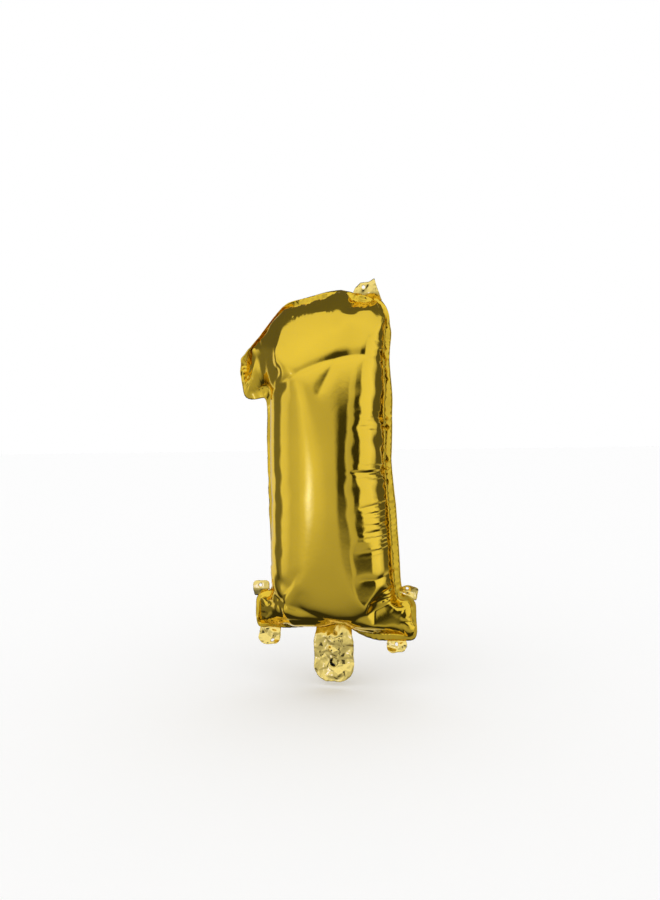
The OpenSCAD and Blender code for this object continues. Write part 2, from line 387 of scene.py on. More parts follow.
def refined(co, flat_co, faces, is_seam, chosen=None):
    """One round of Loop subdivision. The outline and the seam stay sharp.
    With chosen, only those faces are refined, and their neighbours are split to fit."""
    n = len(co)
    pairs = np.sort(np.vstack([faces[:, [0, 1]], faces[:, [1, 2]], faces[:, [2, 0]]]), axis=1)
    edges, index, count = np.unique(pairs, axis=0, return_inverse=True, return_counts=True)
    index = index.reshape(3, -1)
    split = np.ones(len(edges), bool)
    if chosen is not None:
        split[:] = False
        split[index[:, chosen]] = True
        for _ in range(8):
            split[index[:, split[index].sum(0) >= 2]] = True
    opposite = np.zeros((len(edges), 3))
    for k in range(3):
        np.add.at(opposite, index[k], co[faces[:, (k + 2) % 3]])
    sharp = (count == 1) | is_seam[edges].all(1)
    middle = co[edges].mean(1)
    soft = ~sharp
    middle[soft] = co[edges[soft]].sum(1) * 0.375 + opposite[soft] * 0.125
    total, valence = np.zeros((n, 3)), np.zeros(n)
    held = np.zeros(n, bool)
    for a, b in ((0, 1), (1, 0)):
        np.add.at(total, edges[:, a], co[edges[:, b]])
        np.add.at(valence, edges[:, a], 1)
        held[edges[sharp | ~split, a]] = True
    beta = np.where(valence > 3, 0.375, 0.5625) / valence
    eased_co = co * (1 - valence * beta)[:, None] + total * beta[:, None]
    moved = np.where(held[:, None], co, eased_co)
    new = np.full(len(edges), -1)
    new[split] = n + np.arange(split.sum())
    ab, bc, ca = new[index]
    a, b, c = faces.T
    full = (ab >= 0) & (bc >= 0) & (ca >= 0)
    parts = [faces[(ab < 0) & (bc < 0) & (ca < 0)]]
    parts += [np.column_stack(t)[full] for t in ((a, ab, ca), (b, bc, ab), (c, ca, bc), (ab, bc, ca))]
    for m, p, q, r in ((ab, a, b, c), (bc, b, c, a), (ca, c, a, b)):
        lone = (m >= 0) & ~full
        parts += [np.column_stack([p, m, r])[lone], np.column_stack([m, q, r])[lone]]
    seam = np.concatenate([is_seam, (is_seam[edges].all(1) & sharp)[split]])
    flat_out = np.vstack([flat_co, flat_co[edges].mean(1)[split]])
    return np.vstack([moved, middle[split]]), flat_out, np.vstack(parts), seam


def normals(co, faces):
    a, b, c = (co[faces[:, k]] for k in range(3))
    face_normal = np.cross(b - a, c - a)
    out = np.zeros_like(co)
    for k in range(3):
        np.add.at(out, faces[:, k], face_normal)
    return out / (np.linalg.norm(out, axis=1, keepdims=True) + 1e-12)


def facets(points, size, seed, centre=(0.0, -16.0), reach=34.0):
    """A crumpled height field between -1 and 1: flat facets about a size across, with sharp folds between.
    The same place always gets the same height, so that plies that lie together crumple together."""
    rng = np.random.default_rng(seed)
    low, high = np.array(centre) - reach, np.array(centre) + reach
    lines = [np.arange(low[k], high[k], size) for k in (0, 1)]
    grid = np.array([(x, z) for x in lines[0] for z in lines[1]])
    grid += rng.uniform(-0.42, 0.42, grid.shape) * size
    vectors, _, faces, *_ = delaunay_2d_cdt([Vector(p) for p in grid], [], [], 0, 1e-6)
    corners = np.array([tuple(v) for v in vectors])[np.array([tuple(f) for f in faces])]
    rise = rng.uniform(-1, 1, len(vectors))[np.array([tuple(f) for f in faces])]
    a, b, c = corners[:, 0], corners[:, 1], corners[:, 2]
    area = (b - a)[:, 0] * (c - a)[:, 1] - (b - a)[:, 1] * (c - a)[:, 0]
    p = points[:, None]
    share_b = ((p - a)[..., 0] * (c - a)[:, 1] - (p - a)[..., 1] * (c - a)[:, 0]) / area
    share_c = ((b - a)[:, 0] * (p - a)[..., 1] - (b - a)[:, 1] * (p - a)[..., 0]) / area
    share_a = 1 - share_b - share_c
    best = np.minimum(np.minimum(share_a, share_b), share_c).argmax(1)
    row = np.arange(len(points))
    shares = np.column_stack([share[row, best] for share in (share_a, share_b, share_c)])
    return (shares * rise[best]).sum(1)


# Stray gathers: how far apart along the seam, and the least and most reach, half width and depth of one
GATHER_EVERY = 4.2
GATHER_REACH, GATHER_HALF, GATHER_DEPTH = (4.0, 20.0), (0.7, 1.4), (0.10, 0.60)
GATHER_SLANT = 0.35
RIM_WAVE, SEAM_CALM = 0.6, 0.4
FINE_WITHIN = 9.0
RUN_HALF = 0.27
# Runs of close gathers: where each starts and ends on the flat seam, spacing, reach and depth
GATHER_RUNS = [
    ((-62, 0), (-4, 0), 3.1, 12.0, 0.60), ((14, 0), (66, 0), 3.4, 11.0, 0.70),
    ((-34, TOP), (14, TOP + 3), 2.3, 40.0, 0.60), ((22, TOP), (58, TOP - 4), 4.0, 13.0, 0.7),
    ((-FLAG, FLAG_HIGH - 4), (-STEM - 4, FLAG_LOW), 3.6, 20.0, 0.6),
    ((-FLAG + 6, FLAG_HIGH + 5), (CROWN - 6, TOP - 8), 5.5, 9.0, 0.3),
    ((STEM, 92), (STEM, 126), 2.8, 52.0, 0.62), ((STEM, 154), (STEM, 166), 3.4, 58.0, 0.60),
    ((STEM, 202), (STEM, 212), 3.6, 52.0, 0.55), ((STEM, 130), (STEM, 138), 3.4, 48.0, 0.5),
    ((STEM, 262), (STEM, 274), 3.5, 40.0, 0.8), ((STEM, 46), (STEM, 56), 3.2, 44.0, 0.7),
    ((-STEM, 60), (-STEM, 210), 6.0, 8.0, 0.22),
]


def run_on_seam(start, end):
    """Where a run of gathers starts along the seam and how long it is, the shorter way round."""
    first, last = to_outline(weld_ring, np.array([start, end], float))[1]
    span = (last - first) % SEAM_LENGTH
    return (first, span) if span < SEAM_LENGTH / 2 else (last, SEAM_LENGTH - span)


def gather_list(seed):
    """Every gather as (place along the seam, reach, depth, half width, slant, rim's side)."""
    rng = np.random.default_rng(seed)
    out = []
    for k in range(int(SEAM_LENGTH / GATHER_EVERY)):
        strength = rng.uniform() ** 2.4
        reach = GATHER_REACH[0] + (GATHER_REACH[1] - GATHER_REACH[0]) * strength * rng.uniform(0.6, 1)
        depth = GATHER_DEPTH[0] + (GATHER_DEPTH[1] - GATHER_DEPTH[0]) * strength
        half = rng.uniform(*GATHER_HALF) * (0.8 + 0.6 * strength)
        at = (k + rng.uniform(-0.5, 0.5)) * GATHER_EVERY
        out.append((at, reach, depth, half, rng.uniform(-GATHER_SLANT, GATHER_SLANT), rng.choice([-1, 1])))
    for start, end, every, reach, depth in GATHER_RUNS:
        first, span = run_on_seam(start, end)
        side = 1
        for k in range(int(span / every) + 1):
            at = (first + (k + rng.uniform(-0.25, 0.25)) * every) % SEAM_LENGTH
            vary = rng.uniform(0.45, 1.0)
            deep, slant = depth * rng.uniform(0.5, 1), rng.uniform(-0.06, 0.06)
            out.append((at, reach * vary, deep, RUN_HALF * every, slant, side))
            side = -side
    return out


def finely_gathered(points):
    """Which points of the flat sheet lie beside the seam or in a run of close gathers."""
    away, along = to_outline(weld_ring, points)
    near = away < FINE_WITHIN
    for start, end, every, reach, depth in GATHER_RUNS:
        first, span = run_on_seam(start, end)
        near |= ((along - first) % SEAM_LENGTH < span) & (away < reach)
    return near & inside(weld_ring, points)


def gathered(co, flat_co, faces, seed):
    """Gathers that run in from the seam and fade, and a rim that is wavy where they are."""
    away, along = to_outline(weld_ring, flat_co)
    length = along.max()
    within = inside(weld_ring, flat_co)
    press, wavy = np.zeros(len(co)), np.zeros(len(co))
    calm = SEAM_CALM + (1 - SEAM_CALM) * smooth_step(away / FINE_WITHIN)
    for at, reach, depth, half, slant, side in gather_list(seed):
        off = (along - at - slant * away + length / 2) % length - length / 2
        width = half * (1 + 0.6 * away / reach)
        near = (np.abs(off) < 5 * width) & (away < reach)
        fade = (1 - np.clip(away / reach, 0, 1) ** 2) * calm
        valley = np.exp(-np.abs(off / width) ** 1.3)
        bank = 0.45 * np.exp(-(((np.abs(off) - 2.1 * width) / width) ** 2))
        press += np.where(near, depth * fade * (valley - bank), 0)
        wavy += np.where(np.abs(off) < 5 * half, side * depth * np.exp(-((off / (1.6 * half)) ** 2)), 0)
    out = co - normals(co, faces) * np.where(within, press, 0)[:, None]
    out[:, 1] += np.where(within, 0, RIM_WAVE * wavy * away / RIM)
    return out


# x, z of each crease's points, its depth and its half width, in mm
CREASES_FRONT = [
    ([(-52, 225), (-35, 231), (-14, 242), (8, 250), (30, 254), (52, 254)], 1.3, 4.0),
    ([(13, 247), (7, 236), (1, 222)], 1.1, 4.0),
    ([(53, 190), (41, 192), (30, 191)], 0.7, 1.6),
    ([(53, 154), (41, 152), (27, 154)], 0.7, 1.6),
    ([(53, 122), (43, 124), (33, 122)], 0.6, 1.6),
    ([(55, 62), (45, 58), (33, 60)], 1.0, 2.2),
    ([(12, 14), (27, 24), (43, 30), (57, 36)], 1.8, 5.0),
    ([(10, 14), (-11, 26), (-31, 34), (-48, 40)], 2.0, 5.0),
    ([(10, 14), (-17, 20), (-45, 18), (-62, 14)], 1.2, 3.5),
    ([(12, 14), (37, 10), (63, 5)], 1.2, 3.5),
    ([(-46, 38), (-34, 50), (-24, 66)], 1.1, 4.0),
    ([(-47, 37), (-58, 30), (-66, 24)], 1.0, 2.5),
    ([(50, 40), (60, 33), (70, 30)], 1.0, 2.5),
]
CREASES_BACK = [
    ([(-53, 224), (-33, 230), (-7, 236), (23, 236), (50, 240)], 2.2, 5.0),
    ([(53, 170), (37, 172), (17, 168)], 1.4, 3.0),
    ([(-49, 130), (-33, 128), (-17, 131)], 1.2, 3.0),
    ([(53, 96), (37, 98), (23, 95)], 1.2, 3.0),
    ([(7, 14), (27, 26), (55, 38)], 1.8, 5.0),
    ([(7, 14), (-17, 26), (-49, 38)], 1.8, 5.0),
]

# Flat facets pressed into the sheet: x, z, degrees its face turns to +X and up, depth and reach in mm
FACETS_FRONT = [
    (-47, 266, -44, 24, 2.0, 34), (0, 300, -5, 50, 2.0, 28), (37, 298, 16, 56, 1.5, 20),
    (-61, 248, -45, 4, 1.4, 26), (-57, 27, -46, 2, 1.8, 28), (-8, 37, -12, -18, 0.9, 24),
    (62, 22, 31, 1, 3.6, 30), (34, 29, 5, -22, 1.0, 22), (39, 44, 31, 0, 1.3, 20),
    (41, 69, 31, 0, 1.0, 22), (-30, 20, -10, -44, 1.0, 20), (-58, 13, -30, -44, 1.0, 18),
    (36, 12, 12, -50, 1.0, 18),
]
FACETS_BACK = [
    (-44, 262, -50, 32, 2.0, 22), (6, 298, 4, 44, 1.6, 22), (40, 292, 34, 40, 1.4, 15),
    (-52, 238, -44, -6, 1.6, 16), (-48, 26, -46, -10, 2.0, 18), (50, 26, 40, -12, 2.0, 18),
    (14, 32, 6, -20, 1.4, 20), (-22, 20, -8, -40, 1.2, 16),
]
# How soft a facet's edge is in mm, and the share of its reach in which its highest point is looked for
FACET_EDGE, FACET_SEAT = 0.35, 0.35


def faceted(co, cuts, front_sign):
    """Presses flat facets into a sheet. front_sign is -1 for the front sheet and 1 for the back one."""
    out = co.copy()
    for x, z, turn, lift, depth, reach in cuts:
        turn, lift = math.radians(turn), math.radians(lift)
        level = math.cos(lift)
        face = np.array([math.sin(turn) * level, front_sign * math.cos(turn) * level, math.sin(lift)])
        beside = out[np.hypot(out[:, 0] - x, out[:, 2] - z) < reach * FACET_SEAT]
        at = beside[(beside @ face).argmax()]
        gap = out - (at - face * depth)
        proud = gap @ face
        near = 1 - smooth_step(np.linalg.norm(gap, axis=1) / reach * 1.6 - 0.6)
        out -= face * (near * FACET_EDGE * np.logaddexp(0, proud / FACET_EDGE))[:, None]
    return out


def creased(co, faces, creases):
    """Presses each crease into the sheet, deepest in its middle and gone at its free end."""
    out = co.copy()
    normal = normals(co, faces)
    for line, depth, width in creases:
        line = np.array(line, float)
        dense = np.vstack([
            a + (b - a) * t for a, b in zip(line[:-1], line[1:]) for t in np.linspace(0, 1, 12)[:, None]
        ])
        for _ in range(30):
            dense[1:-1] = (dense[:-2] + 2 * dense[1:-1] + dense[2:]) / 4
        keep = np.concatenate([[True], np.linalg.norm(np.diff(dense, axis=0), axis=1) > 1e-6])
        dense = dense[keep]
        away, along = to_outline(dense, co[:, [0, 2]], closed=False)
        total = np.linalg.norm(np.diff(dense, axis=0), axis=1).sum()
        ends = np.sin(math.pi * np.clip(0.12 + 0.80 * along / total, 0, 1)) ** 0.7
        out -= normal * (depth * ends * np.exp(-((away / width) ** 1.3)))[:, None]
    return out


# The seam is drawn up into a dent where the valve stiffens it
DENT_X, DENT_Z, DENT_UP, DENT_WIDE, DENT_HIGH = 7.0, 12.0, 3.0, 12.0, 14.0


def dented(co):
    x, z = co[:, 0], co[:, 2]
    pull = np.exp(-((x - DENT_X) / DENT_WIDE) ** 2) * smooth_step(1 - (z - DENT_Z) / DENT_HIGH)
    out = co.copy()
    out[:, 2] += DENT_UP * pull
    return out


EASE_ROUNDS, EASE_FROM = 24, (5.0, 16.0)
# Places beside the seam that are drawn smooth and filled out: flat x, z, radius, and how far they swell
SWOLLEN = [
    (-STEM - 2, FLAG_LOW + 14, 40.0, 3.5),
    (-FOOT + 12, FOOT_H - 16, 38.0, 6.0),
    (FOOT - 12, FOOT_H - 20, 36.0, 6.0),
]
SWELL_ROUNDS, SWELL_EDGE = 180, 7.0


def neighbour_sum(values, pairs):
    """The sum of what lies at the other end of every edge of each point."""
    total = np.zeros_like(values)
    np.add.at(total, pairs[:, 0], values[pairs[:, 1]])
    np.add.at(total, pairs[:, 1], values[pairs[:, 0]])
    return total


def eased(co):
    """The middle of a sheet drawn smooth, as taut foil is, while the folds beside the seam stay."""
    out = co.copy()
    weight = 0.5 * smooth_step((from_seam - EASE_FROM[0]) / (EASE_FROM[1] - EASE_FROM[0])) * is_inner
    sides = np.vstack([flat_faces[:, k] for k in ([0, 1], [1, 2], [2, 0])])
    pairs = np.unique(np.sort(sides, axis=1), axis=0)
    count = np.bincount(pairs.ravel(), minlength=len(co))[:, None]
    for step in range(EASE_ROUNDS):
        pull = 1.0 if step % 2 == 0 else -0.9
        out += (neighbour_sum(out, pairs) / count - out) * weight[:, None] * pull
    side = np.sign(co[:, 1].mean())
    for x, z, radius, swell in SWOLLEN:
        gap = np.hypot(flat[:, 0] - x, flat[:, 1] - z)
        weight = smooth_step(2 - 2 * gap / radius) * smooth_step(from_seam / 2) * is_inner
        own = pairs[(weight[pairs] > 0).any(1)]
        for _ in range(SWELL_ROUNDS):
            out += (neighbour_sum(out, own) / count - out) * 0.9 * weight[:, None]
        out[:, 1] += side * swell * weight * (1 - np.exp(-from_seam / SWELL_EDGE))
    return out


def sheet_detail(co, creases, cuts, front_sign, seed):
    """A simulated sheet with all its finer shape. Returns positions, flat positions and faces."""
    seam = np.zeros(len(flat), bool)
    seam[:len(weld_ring)] = True
    co = eased(co)
    co, flat_co, faces, seam = refined(co, flat, flat_faces, seam)
    co, flat_co, faces, seam = refined(co, flat_co, faces, seam, finely_gathered(flat_co[faces].mean(1)))
    co = faceted(dented(co), cuts, front_sign)
    co = gathered(co, flat_co, faces, seed)
    return creased(co, faces, creases), flat_co, faces


FILM = 0.16
front_co, flat_co, sheet_faces = sheet_detail(front, CREASES_FRONT, FACETS_FRONT, -1, 11)
back_co = sheet_detail(back, CREASES_BACK, FACETS_BACK, 1, 11)[0]

# -------------------- making pieces


def make_piece(name, points, faces, nodes, thickness, centred=False):
    """A sheet with a thickness, in the numeral's frame in mm, as a piece that stands for CAD nodes."""
    mesh = bpy.data.meshes.new(name)
    mesh.from_pydata(placed(points).tolist(), [], faces.tolist())
    mesh.polygons.foreach_set("use_smooth", [True] * len(mesh.polygons))
    piece = bpy.data.objects.new(name, mesh)
    scene.collection.objects.link(piece)
    shell = piece.modifiers.new("thickness", "SOLIDIFY")
    shell.thickness = thickness * MM
    shell.offset = 0 if centred else -1
    with bpy.context.temp_override(object=piece, active_object=piece):
        bpy.ops.object.modifier_apply(modifier=shell.name)
    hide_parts(*nodes)
    return piece


RIM_GAP, VALVE_GAP, VALVE_HALF = 0.03, 0.28, 11.0


def parted(co, side):
    """A sheet moved off the weld's plane, so that two sheets don't share it, and further over the valve."""
    over_valve = np.exp(-((co[:, 0] / VALVE_HALF) ** 4)) * smooth_step((60 - co[:, 2]) / 30)
    out = co.copy()
    out[:, 1] += side * (RIM_GAP + FILM + VALVE_GAP * over_valve)
    return out


foil_pieces = []
for side, face, sheet_co in ((-1, "front", front_co), (1, "back", back_co)):
    faces = sheet_faces if side < 0 else sheet_faces[:, ::-1]
    piece = make_piece(
        f"{face}_sheet", parted(sheet_co, side), faces, [f"{face}_panel"], FILM
    )
    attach(piece, "envelope")
    foil_pieces.append(piece)

on_edge = (to_outline(weld_ring, flat_co)[0] > RIM - 0.02) & ~inside(weld_ring, flat_co)
rim_edge = front_co[on_edge]
ROOT_SPREAD, ROOT_SWAY = 1.5, 7.0


def rim_at(x, near_z, reach=9.0):
    """y and z of the rim's edge at each x, for the part of the rim near a height."""
    part = rim_edge[np.abs(rim_edge[:, 2] - near_z) < reach]
    weight = np.exp(-(((np.asarray(x)[:, None] - part[:, 0]) / ROOT_SPREAD) ** 2)) + 1e-9
    y, z = ((weight / weight.sum(1, keepdims=True)) @ part[:, [1, 2]]).T
    return y, np.clip(z, near_z - ROOT_SWAY, near_z + ROOT_SWAY)


# -------------------- hanging tabs

TAB_EDGE = 0.8
HOLE_R = 1.5
TAB_SWAY = 3.0
# A tab's thickness: two plies of film, each with the gap beside it
TAB_PLY = 2 * (FILM + RIM_GAP)
# Root height, corners as x, z and radius, how far the tip curls to the front in degrees, crumple and seed.
# The first and the last corner are on the rim's edge.
TABS = {
    "tab_top": (306, [
        (22, 306, 0), (27, 315, 3), (31, 319, 2), (39, 319.5, 1), (43.5, 323, 0.6), (46, 314, 1),
        (50, 306, 0),
    ], -16, 1.2, 3),
    "tab_shoulder_left": (39, [
        (-59.5, 39, 0), (-59.5, 51, 3.5), (-75.5, 50.5, 4), (-75, 39, 0),
    ], -8, 0.35, 4),
    "tab_shoulder_right": (39, [
        (76, 39, 0), (79, 46, 4), (70, 51, 4), (60.5, 48, 4), (60.5, 39, 0),
    ], 46, 1.7, 5),
    "tab_foot_left": (7, [
        (-69, 7, 0), (-72, -3, 6), (-64, -10, 6), (-51, -9, 5), (-50, 7, 0),
    ], 52, 1.7, 6),
    "tab_foot_right": (-2, [
        (49, -2, 0), (48, -9, 4), (54, -13, 5), (64, -12, 5), (68, -6, 4), (66, -2, 0),
    ], 40, 1.5, 9),
}


def punched(outline, hole, radius, step, seed):
    """A flat sheet with a round hole in it."""
    turn = np.arange(0, 2 * math.pi, 2 * math.pi / 24)
    ring = np.column_stack([hole[0] + radius * np.cos(turn), hole[1] + radius * np.sin(turn)])
    points, faces = flat_mesh(outline, [outline, ring], step, seed)
    return points, faces[~inside(ring, points[faces].mean(1))]


def crumpled_sheet(
    points, root, out, tip, curl, crumple, seed, size=5.5, hinge=2.5, middle=(0.0, -16.0), sway=TAB_SWAY
):
    """A flat sheet in x, z, with its root on the rim's edge, crumpled and curled to the front.
    out is 1 where it points up and -1 where it points down."""
    x, z = points.T
    rise = (z - root) * out
    y_rim, z_rim = rim_at(x, root)
    z_rim = np.clip(z_rim, root - sway, root + sway)
    root_part = 1 - smooth_step(rise / 4.5)
    free = smooth_step(rise / 4.0)
    rise = rise + (z_rim - root) * out * root_part
    height = abs(tip - root)
    steps = np.linspace(0, height, 60)
    angle = np.radians(curl) * smooth_step((steps - hinge) / (height - hinge))
    lean = np.concatenate([[0], np.cumsum(np.sin(angle[1:]) * np.diff(steps))])
    stand = np.concatenate([[0], np.cumsum(np.cos(angle[1:]) * np.diff(steps))])
    y = y_rim * root_part - np.interp(rise, steps, lean)
    z = root + out * np.where(rise < 0, rise, np.interp(rise, steps, stand))
    wide, fine = (facets(points, s, seed + k, middle) for k, s in enumerate((size, size * 0.45)))
    y = y + crumple * (wide + 0.30 * fine) * free
    x = x + 0.35 * crumple * facets(points, size, seed + 50, middle) * free
    z = z + 0.25 * crumple * facets(points, size, seed + 90, middle) * free
    return np.column_stack([x, y, z])


crinkled_pieces = []
for name, (root, corners, curl, crumple, seed) in TABS.items():
    low, high = (np.array(corner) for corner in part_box(name))
    middle = ((low + high) / 2 - HOME) / MM
    out = 1 if middle[2] > root else -1
    tip = max(out * c[1] for c in corners) * out
    if out < 0:
        corners = corners[::-1] if corners[0][0] > corners[-1][0] else corners
    else:
        corners = corners if corners[0][0] > corners[-1][0] else corners[::-1]
    points, faces = punched(rounded(corners, TAB_EDGE), (middle[0], middle[2]), HOLE_R, TAB_EDGE, seed)
    co = crumpled_sheet(points, root, out, tip, curl, crumple, seed, middle=(middle[0], middle[2]))
    piece = make_piece(name + "_sheet", co, faces, [name], TAB_PLY, centred=True)
    # The root row stays on the rim, and the bend starts beyond all of it
    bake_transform(piece)
    crinkled_pieces.append(piece)

# -------------------- filling tail

TAIL_HALF, TAIL_ROOT, TAIL_TIP, TAIL_END_R = 18.5, 6.0, -40.5, 14.0
FILL_R = 4.0
TAIL_CURL, TAIL_CRUMPLE, TAIL_SEED = 14, 1.3, 21
CHANNEL_HALF, CHANNEL_PUFF = 7.5, 2.2
tail_fold_z = (tail_high.z - HOME[2]) / MM - 0.75
fill_z = tail_fold_z - 22.0


def tail_surface(points):
    """The tail's middle surface: crumpled, with its root on the rim's edge."""
    return crumpled_sheet(
        points, TAIL_ROOT, -1, TAIL_TIP, TAIL_CURL, TAIL_CRUMPLE, TAIL_SEED, size=6.5, hinge=8, sway=ROOT_SWAY
    )


def tail_ply(side):
    """One of the two plies round the valve channel. side is -1 for the front, with the filling hole."""
    corners = [
        (-TAIL_HALF + 2, TAIL_ROOT, 0), (-TAIL_HALF, -4, 3), (-TAIL_HALF, TAIL_TIP, TAIL_END_R),
        (TAIL_HALF, TAIL_TIP, TAIL_END_R), (TAIL_HALF, -4, 3), (TAIL_HALF - 2, TAIL_ROOT, 0),
    ]
    outline = rounded(corners, TAB_EDGE)
    if side < 0:
        points, faces = punched(outline, (0, fill_z), FILL_R, TAB_EDGE, 31)
    else:
        points, faces = flat_mesh(outline, [outline], TAB_EDGE, 31)
    co = tail_surface(points)
    x, z = points.T
    border = to_outline(outline, points)[0]
    channel = np.exp(-((x / CHANNEL_HALF) ** 4)) * smooth_step(border / 7)
    ruffle = 0.6 + 0.55 * facets(points, 3.6, 61 + side)
    co[:, 1] += side * (RIM_GAP + FILM / 2 + 0.25 * smooth_step(border / 2) + CHANNEL_PUFF * channel * ruffle)
    return co, faces if side < 0 else faces[:, ::-1]


for side, face in ((-1, "front"), (1, "back")):
    co, faces = tail_ply(side)
    piece = make_piece(f"tail_{face}_sheet", co, faces, [f"tail_{face}_ply"], FILM)
    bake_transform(piece)
    crinkled_pieces.append(piece)

# -------------------- check valve

VALVE_PLY, FILM_APART, SHEET_SPREAD = 0.08, 0.10, 0.8
INLET_HALF, INLET_LOW = 11.0, -34.0
THROAT_HALF, THROAT_LONG, TONGUE_HALF, TONGUE_TOP = 8.5, 14, 8.0, 44.0
low_seam = front_co[:len(weld_ring)]
low_seam = low_seam[(np.abs(low_seam[:, 0]) < 12) & (low_seam[:, 2] < 60)]
seam_z = low_seam[:, 2].mean()


def strip_corners(half, low, high):
    return [(-half, low, 1), (half, low, 1), (half, high, 1), (-half, high, 1)]


def strip(half, low, high, step=1.5):
    outline = rounded(strip_corners(half, low, high), step)
    return flat_mesh(outline, [outline], step, 41)


def between_sheets(x, z):
    """y halfway between the front and back sheets, at each x and z near the lower seam."""
    found = []
    for co in (front_co, back_co):
        part = co[(np.abs(co[:, 0]) < 20) & (co[:, 2] < 60)]
        away = (x[:, None] - part[:, 0]) ** 2 + (z[:, None] - part[:, 2]) ** 2
        weight = np.exp(-(away - away.min(1, keepdims=True)) / SHEET_SPREAD ** 2)
        found.append((weight * part[:, 1]).sum(1) / weight.sum(1))
    return (found[0] + found[1]) / 2


def valve_sheets(side):
    """The three parts of one valve film: in the tail, through the seam and loose inside the envelope."""
    points, inlet_faces = strip(INLET_HALF, INLET_LOW, TAIL_ROOT)
    if side < 0:
        outline = rounded(strip_corners(INLET_HALF, INLET_LOW, TAIL_ROOT), TAB_EDGE)
        points, inlet_faces = punched(outline, (0, fill_z), FILL_R + 0.4, TAB_EDGE, 43)
    inlet = tail_surface(points) + [0, side * FILM_APART, 0]
    points, throat_faces = strip(THROAT_HALF, 0, THROAT_LONG)
    share = points[:, 1] / THROAT_LONG
    rim_z = rim_at(points[:, 0], TAIL_ROOT)[1]
    throat_z = rim_z + (seam_z - rim_z) * share
    throat_y = between_sheets(points[:, 0], throat_z) + side * FILM_APART
    throat = np.column_stack([points[:, 0], throat_y, throat_z])
    points, tongue_faces = strip(TONGUE_HALF, seam_z, TONGUE_TOP)
    rise = smooth_step((points[:, 1] - seam_z) / 9)
    tongue_y = between_sheets(points[:, 0], points[:, 1]) + side * (FILM_APART + 0.1 * rise)
    tongue = np.column_stack([points[:, 0], tongue_y, points[:, 1]])
    return {"inlet": (inlet, inlet_faces), "throat": (throat, throat_faces), "tongue": (tongue, tongue_faces)}


film_pieces = []
for side, face in ((-1, "front"), (1, "back")):
    for name, (co, mesh_faces) in valve_sheets(side).items():
        mesh_faces = mesh_faces if side < 0 else mesh_faces[:, ::-1]
        part = f"valve_{name}_{face}"
        piece = make_piece(part + "_film", co, mesh_faces, [part + "_ply"], VALVE_PLY)
        if name == "inlet":
            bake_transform(piece)
        elif name == "tongue":
            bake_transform(piece)
        else:
            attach(piece, "envelope")
        film_pieces.append(piece)

# -------------------- materials


def principled(name):
    material = bpy.data.materials.new(name)
    material.use_nodes = True
    nodes, links = material.node_tree.nodes, material.node_tree.links
    return material, nodes, links, nodes["Principled BSDF"]


def add_node(nodes, kind, **values):
    """A new shader node with its inputs set. An underscore stands for the space in an input's name."""
    node = nodes.new("ShaderNode" + kind)
    for key, value in values.items():
        node.inputs[key.replace("_", " ")].default_value = value
    return node


def foil(name, tint, rough, grain):
    """Mirror-bright metallised film, a little cloudy and finely grained under a clear lacquer."""
    material, nodes, links, shader = principled(name)
    shader.inputs["Metallic"].default_value = 1.0
    shader.inputs["Specular Tint"].default_value = (0.95, 0.80, 0.35, 1)
    shader.inputs["Coat Weight"].default_value = 0.5
    shader.inputs["Coat Roughness"].default_value = 0.04
    where = nodes.new("ShaderNodeTexCoord")
    cloud = add_node(nodes, "TexNoise", Scale=22.0, Detail=3.0)
    links.new(where.outputs["Object"], cloud.inputs["Vector"])
    colour = nodes.new("ShaderNodeValToRGB")
    colour.color_ramp.elements[0].color = (*(0.92 * t for t in tint), 1)
    colour.color_ramp.elements[0].position = 0.3
    colour.color_ramp.elements[1].color = (*tint, 1)
    colour.color_ramp.elements[1].position = 0.7
    links.new(cloud.outputs["Fac"], colour.inputs["Fac"])
    links.new(colour.outputs["Color"], shader.inputs["Base Color"])
    haze = add_node(nodes, "MapRange", To_Min=rough * 0.8, To_Max=rough * 1.3)
    links.new(cloud.outputs["Fac"], haze.inputs["Value"])
    links.new(haze.outputs["Result"], shader.inputs["Roughness"])
    fine = add_node(nodes, "TexNoise", Scale=260.0, Detail=4.0)
    links.new(where.outputs["Object"], fine.inputs["Vector"])
    bump = add_node(nodes, "Bump", Strength=grain, Distance=0.0004)
    links.new(fine.outputs["Fac"], bump.inputs["Height"])
    links.new(bump.outputs["Normal"], shader.inputs["Normal"])
    return material


# The paler gold is painted highlight: the tail's and tabs' crumpled foil is the same gold foil as the body,
# made paler to stand in for its many small highlights
GOLD, HIGHLIGHT_PALED_GOLD = (0.81, 0.55, 0.028), (0.95, 0.74, 0.20)


def film(name):
    """Clear plastic film, faintly milky and faintly rippled."""
    material, nodes, links, shader = principled(name)
    shader.inputs["Transmission Weight"].default_value = 1.0
    shader.inputs["IOR"].default_value = 1.2
    cloud = add_node(nodes, "TexNoise", Scale=90.0)
    milky = nodes.new("ShaderNodeValToRGB")
    for element, tint in zip(milky.color_ramp.elements, ((0.8, 0.82, 0.83, 1), (0.95, 0.96, 0.97, 1))):
        element.color = tint
    links.new(cloud.outputs["Fac"], milky.inputs["Fac"])
    links.new(milky.outputs["Color"], shader.inputs["Base Color"])
    haze = add_node(nodes, "MapRange", To_Min=0.04, To_Max=0.12)
    links.new(cloud.outputs["Fac"], haze.inputs["Value"])
    links.new(haze.outputs["Result"], shader.inputs["Roughness"])
    ripple = add_node(nodes, "Bump", Strength=0.3, Distance=0.0005)
    links.new(cloud.outputs["Fac"], ripple.inputs["Height"])
    links.new(ripple.outputs["Normal"], shader.inputs["Normal"])
    return material


finishes = (
    (foil("gold_foil", GOLD, 0.085, 0.10), foil_pieces),
    # The tail and tabs get the body's gold foil with a paler tint, as painted highlight
    (foil("gold_foil_crinkled_highlight_paled", HIGHLIGHT_PALED_GOLD, 0.13, 0.15), crinkled_pieces),
    (film("valve_film"), film_pieces),
)
for material, group in finishes:
    for piece in group:
        piece.data.materials.clear()
        piece.data.materials.append(material)

# -------------------- studio

